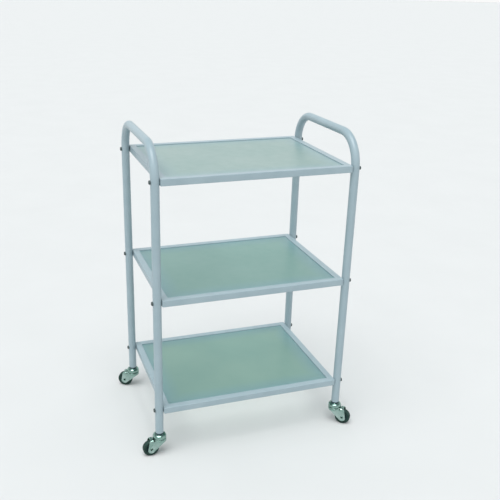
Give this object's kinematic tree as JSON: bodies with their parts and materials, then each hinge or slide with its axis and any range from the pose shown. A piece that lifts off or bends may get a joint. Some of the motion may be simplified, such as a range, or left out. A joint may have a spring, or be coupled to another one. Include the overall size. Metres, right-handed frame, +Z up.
{
  "type": "instrument cart",
  "caption": "Rolling cart with glass shelves in square-tube frames bolted between two bent-tube side frames with push handles, on swivel casters.",
  "frame": {"origin": "on the floor under the middle of the cart, midway between the four leg axes", "axes": "+X along the shelves to the right, +Y from the front to the back, +Z up"},
  "size_m": [0.6964, 0.484, 0.9685],
  "materials": {
    "paint": "pale blue-grey powder coat with a fine orange peel, semi-gloss",
    "glass": "sea-green obscured glass, glossy on top, with arrised edges",
    "bolt_steel": "dark plated hexagon bolts",
    "steel": "plain turned steel",
    "zinc": "bright zinc plate with a green tint, lightly worn",
    "rubber": "dark green-grey rubber, matt",
    "hub_plastic": "dark moulded plastic",
    "plug_plastic": "dark moulded plastic"
  },
  "bodies": {
    "frame": {"left_side_frame": "paint", "right_side_frame": "paint", "bottom_shelf_frame": "paint", "middle_shelf_frame": "paint", "top_shelf_frame": "paint", "front_left_bottom_bolt": "bolt_steel", "front_left_middle_bolt": "bolt_steel", "front_left_top_bolt": "bolt_steel", "front_left_leg_plug": "plug_plastic", "front_left_caster_stem": "steel", "front_left_bearing_cap": "zinc", "front_left_ball_ring": "steel", "front_right_bottom_bolt": "bolt_steel", "front_right_middle_bolt": "bolt_steel", "front_right_top_bolt": "bolt_steel", "front_right_leg_plug": "plug_plastic", "front_right_caster_stem": "steel", "front_right_bearing_cap": "zinc", "front_right_ball_ring": "steel", "back_left_bottom_bolt": "bolt_steel", "back_left_middle_bolt": "bolt_steel", "back_left_top_bolt": "bolt_steel", "back_left_leg_plug": "plug_plastic", "back_left_caster_stem": "steel", "back_left_bearing_cap": "zinc", "back_left_ball_ring": "steel", "back_right_bottom_bolt": "bolt_steel", "back_right_middle_bolt": "bolt_steel", "back_right_top_bolt": "bolt_steel", "back_right_leg_plug": "plug_plastic", "back_right_caster_stem": "steel", "back_right_bearing_cap": "zinc", "back_right_ball_ring": "steel"},
    "front_left_swivel": {"front_left_fork": "zinc", "front_left_axle_rivet": "zinc", "front_left_axle_sleeve": "steel"},
    "front_left_wheel": {"front_left_wheel_hub": "hub_plastic", "front_left_tyre": "rubber"},
    "front_right_swivel": {"front_right_fork": "zinc", "front_right_axle_rivet": "zinc", "front_right_axle_sleeve": "steel"},
    "front_right_wheel": {"front_right_wheel_hub": "hub_plastic", "front_right_tyre": "rubber"},
    "back_left_swivel": {"back_left_fork": "zinc", "back_left_axle_rivet": "zinc", "back_left_axle_sleeve": "steel"},
    "back_left_wheel": {"back_left_wheel_hub": "hub_plastic", "back_left_tyre": "rubber"},
    "back_right_swivel": {"back_right_fork": "zinc", "back_right_axle_rivet": "zinc", "back_right_axle_sleeve": "steel"},
    "back_right_wheel": {"back_right_wheel_hub": "hub_plastic", "back_right_tyre": "rubber"},
    "bottom_glass": {"bottom_glass_pane": "glass"},
    "middle_glass": {"middle_glass_pane": "glass"},
    "top_glass": {"top_glass_pane": "glass"}
  },
  "joints": [
    {"name": "front_left_swivel_turn", "type": "hinge", "parent": "frame", "child": "front_left_swivel", "pos_m": [-0.2975, -0.2042, 0.06], "axis": [0, 0, 1], "continuous": true},
    {"name": "front_left_wheel_roll", "type": "hinge", "parent": "front_left_swivel", "child": "front_left_wheel", "pos_m": [-0.32626, -0.20571, 0.02479], "axis": [0.0523, -0.9986, 0], "continuous": true},
    {"name": "front_right_swivel_turn", "type": "hinge", "parent": "frame", "child": "front_right_swivel", "pos_m": [0.2975, -0.2042, 0.06], "axis": [0, 0, 1], "continuous": true},
    {"name": "front_right_wheel_roll", "type": "hinge", "parent": "front_right_swivel", "child": "front_right_wheel", "pos_m": [0.31988, -0.22232, 0.02479], "axis": [0.6293, 0.7771, 0], "continuous": true},
    {"name": "back_left_swivel_turn", "type": "hinge", "parent": "frame", "child": "back_left_swivel", "pos_m": [-0.2975, 0.2042, 0.06], "axis": [0, 0, 1], "continuous": true},
    {"name": "back_left_wheel_roll", "type": "hinge", "parent": "back_left_swivel", "child": "back_left_wheel", "pos_m": [-0.32316, 0.21727, 0.02479], "axis": [-0.454, -0.891, 0], "continuous": true},
    {"name": "back_right_swivel_turn", "type": "hinge", "parent": "frame", "child": "back_right_swivel", "pos_m": [0.2975, 0.2042, 0.06], "axis": [0, 0, 1], "continuous": true},
    {"name": "back_right_wheel_roll", "type": "hinge", "parent": "back_right_swivel", "child": "back_right_wheel", "pos_m": [0.32109, 0.22072, 0.02479], "axis": [-0.5736, 0.8192, 0], "continuous": true},
    {"name": "bottom_glass_lift", "type": "slide", "parent": "frame", "child": "bottom_glass", "axis": [0, 0, 1], "range_m": [0, 0.05]},
    {"name": "middle_glass_lift", "type": "slide", "parent": "frame", "child": "middle_glass", "axis": [0, 0, 1], "range_m": [0, 0.05]},
    {"name": "top_glass_lift", "type": "slide", "parent": "frame", "child": "top_glass", "axis": [0, 0, 1], "range_m": [0, 0.05]}
  ]
}
